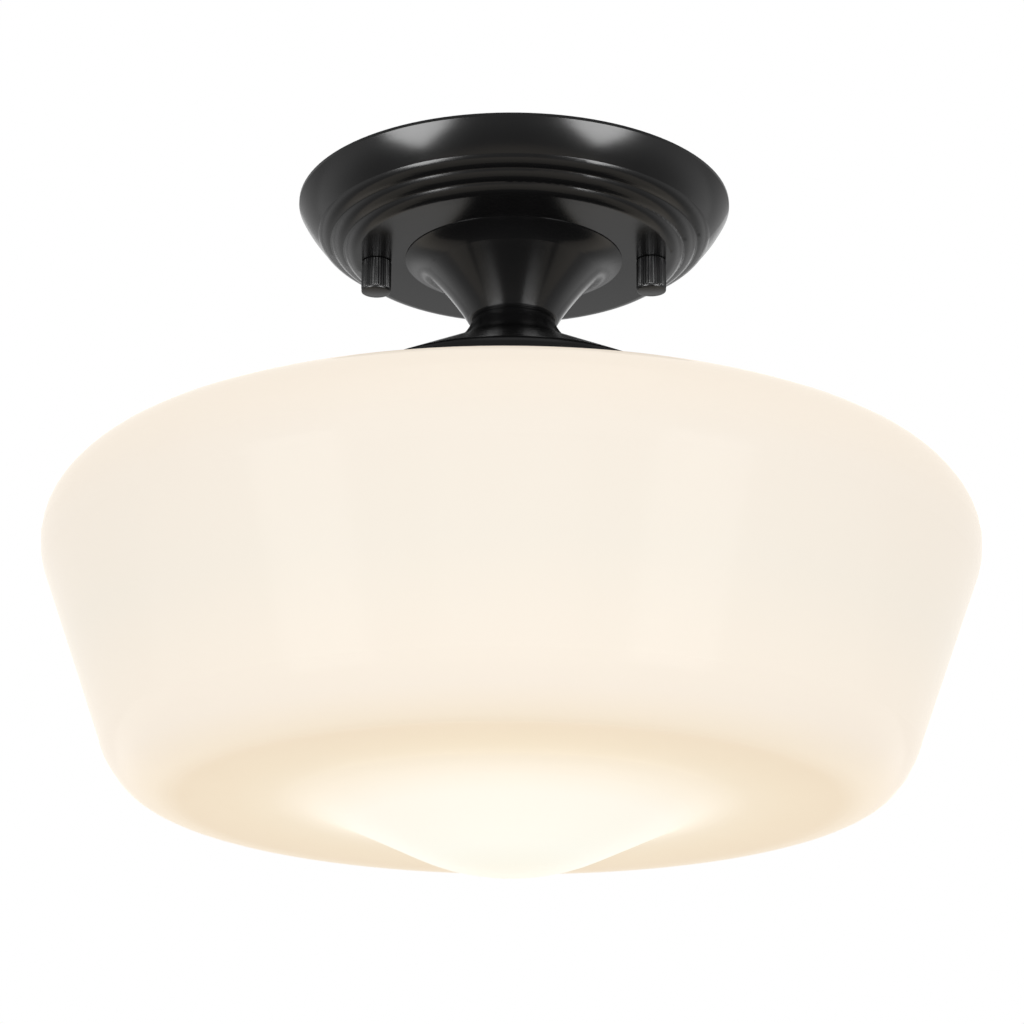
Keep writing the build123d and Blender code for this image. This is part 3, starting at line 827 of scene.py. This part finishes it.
def softbox(name, lit=None, diffuse=True):
    azimuth, elevation, distance, size, radiance, roll = lamps[name]
    back = wayBack(azimuth, elevation)
    lamp = bpy.data.lights.new(name, "AREA")
    lamp.shape = "RECTANGLE"
    lamp.size, lamp.size_y = size
    lamp.energy = radiance * pi * size[0] * size[1]
    piece = bpy.data.objects.new(name, lamp)
    look = back.to_track_quat("Z", "Y").to_matrix().to_4x4()
    look = look @ Matrix.Rotation(radians(roll), 4, "Z")
    piece.matrix_world = Matrix.Translation(Vector(studio["target"]) + back * distance) @ look
    piece.visible_camera = False
    piece.visible_diffuse = diffuse
    if lit:
        piece.light_linking.receiver_collection = lit
    bpy.context.collection.objects.link(piece)


# the pieces that one lamp is kept to
def group(name, pieces):
    collection = bpy.data.collections.new(name)
    for piece in pieces:
        collection.objects.link(piece)
    return collection


def makeFloor():
    style = studio
    mesh = bpy.data.meshes.new("floor")
    reach, level = style["floorReach"], style["floorLevel"]
    corners = [(-reach, -reach, level), (reach, -reach, level), (reach, reach, level), (-reach, reach, level)]
    mesh.from_pydata(corners, [], [(0, 1, 2, 3)])
    floor = bpy.data.objects.new("floor", mesh)
    bpy.context.collection.objects.link(floor)
    paint = Paint("paleFloor", Specular_IOR_Level=0.1, Roughness=0.8)
    paint.feed(Base_Color=paint.blend(paint.noise(3, 3), style["floorColour"], style["floorMottle"]))
    # seen or mirrored, the floor runs out into the white background
    seen = paint.add("ShaderNodeLightPath", out="Is Camera Ray")
    shine = paint.add("ShaderNodeLightPath", out="Is Glossy Ray")
    x, y = paint.axes()[:2]
    away = paint.step((x * x + y * y) ** 0.5, *style["floorFade"])
    share = seen.sum("MAXIMUM", shine * style["floorShine"]) * away
    share = share.sum("MAXIMUM", seen * style["floorWhite"])
    white = paint.add("ShaderNodeEmission", None, {"Strength": style["background"]})
    lit = Flow(paint, paint.shader.outputs[0])
    mixed = paint.add("ShaderNodeMixShader", None, [share, lit, white])
    paint.tree.links.new(mixed.socket, paint.tree.nodes["Material Output"].inputs["Surface"])
    mesh.materials.append(paint.material)


# white to the camera, a share of that in reflections, and dimmer as light
def makeWorld():
    style = studio
    world = bpy.data.worlds.new("studioWorld")
    bpy.context.scene.world = world
    world.use_nodes = True
    sky = Nodes(world.node_tree)
    rays = ("Is Camera Ray", "Is Glossy Ray", "Is Transmission Ray")
    seen, shine, through = [sky.add("ShaderNodeLightPath", out=ray) for ray in rays]
    shown = seen.sum("MAXIMUM", (shine * style["skyShine"]).sum("MAXIMUM", through))
    level = shown * (style["background"] - style["ambient"]) + style["ambient"]
    shader = sky.tree.nodes["Background"]
    shader.inputs["Color"].default_value = (1, 1, 1, 1)
    sky.tree.links.new(level.socket, shader.inputs["Strength"])


makeCamera()
makeFloor()
makeWorld()
solids = [piece for piece in bpy.data.objects if piece.type == "MESH"]
onGlass = group("onGlass", [nodes["glass_shade"]])
onBlack = group("onBlack", [piece for piece in solids if "Black" in piece.active_material.name])
for name in ("bandLeft", "bandRight"):
    softbox(name, onBlack)
for name in ("glassLeft", "glassRight", "glassFront"):
    softbox(name, onGlass)
for name in ("windowLeft", "windowRight"):
    softbox(name, onGlass, diffuse=False)
for name in ("above", "behind"):
    softbox(name)
bpy.context.scene.view_settings.view_transform = "Standard"
print("studio ready")
